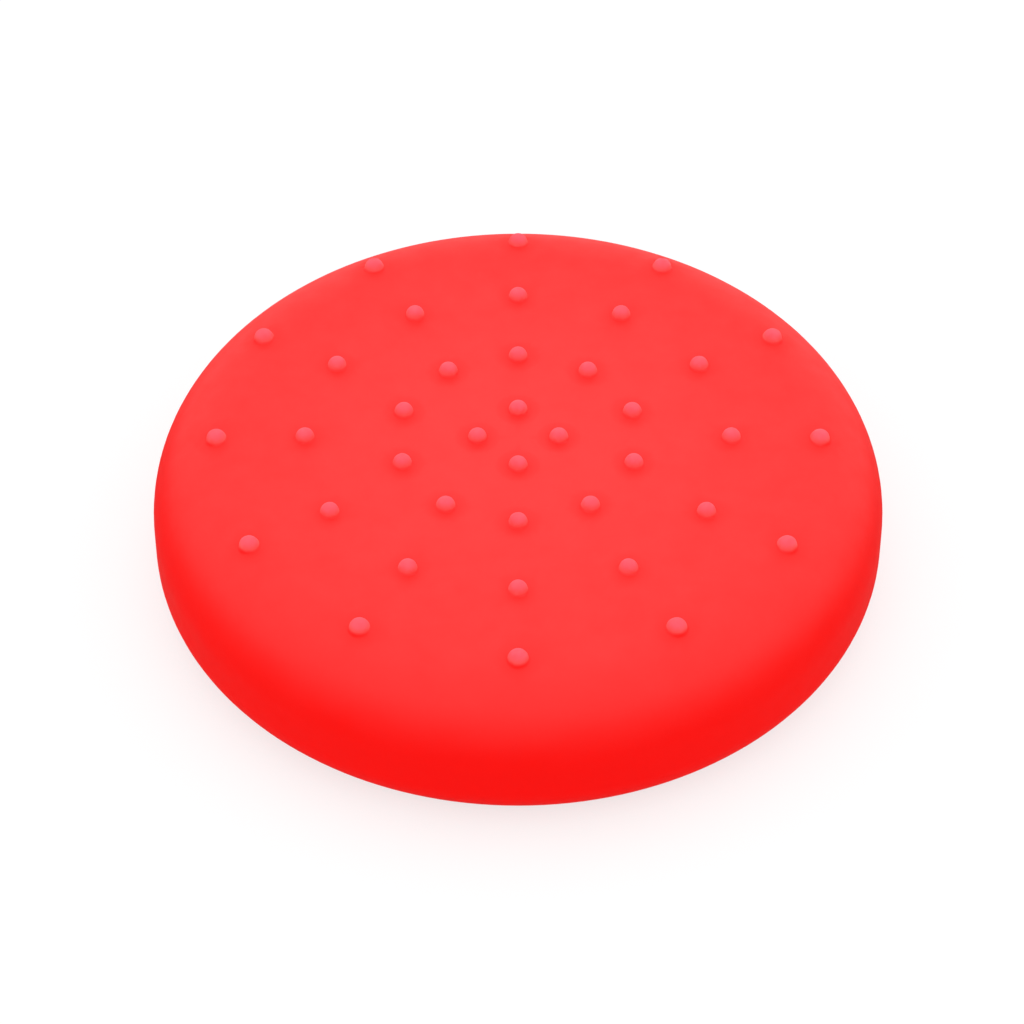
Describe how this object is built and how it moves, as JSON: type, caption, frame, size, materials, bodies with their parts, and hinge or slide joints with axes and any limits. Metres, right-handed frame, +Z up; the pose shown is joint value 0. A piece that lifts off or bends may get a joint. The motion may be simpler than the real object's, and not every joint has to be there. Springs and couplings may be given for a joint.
{
  "type": "controller thumb grip",
  "caption": "Round silicone cap that stretches over a gamepad stick's head: flat top with rings of small domed nubs, rounded shoulder, and a pocket with an inward lip underneath.",
  "frame": {"origin": "centre of the flat base ring, in the plane that the cap rests on", "axes": "+Z up along the axis of the stick, through the middle of the nubbed top; +Y towards the back, where each ring of nubs has one nub"},
  "size_m": [0.02, 0.02, 0.0047],
  "materials": {
    "silicone": "matte"
  },
  "bodies": {
    "root": {"thumb_grip": "silicone"}
  },
  "joints": []
}
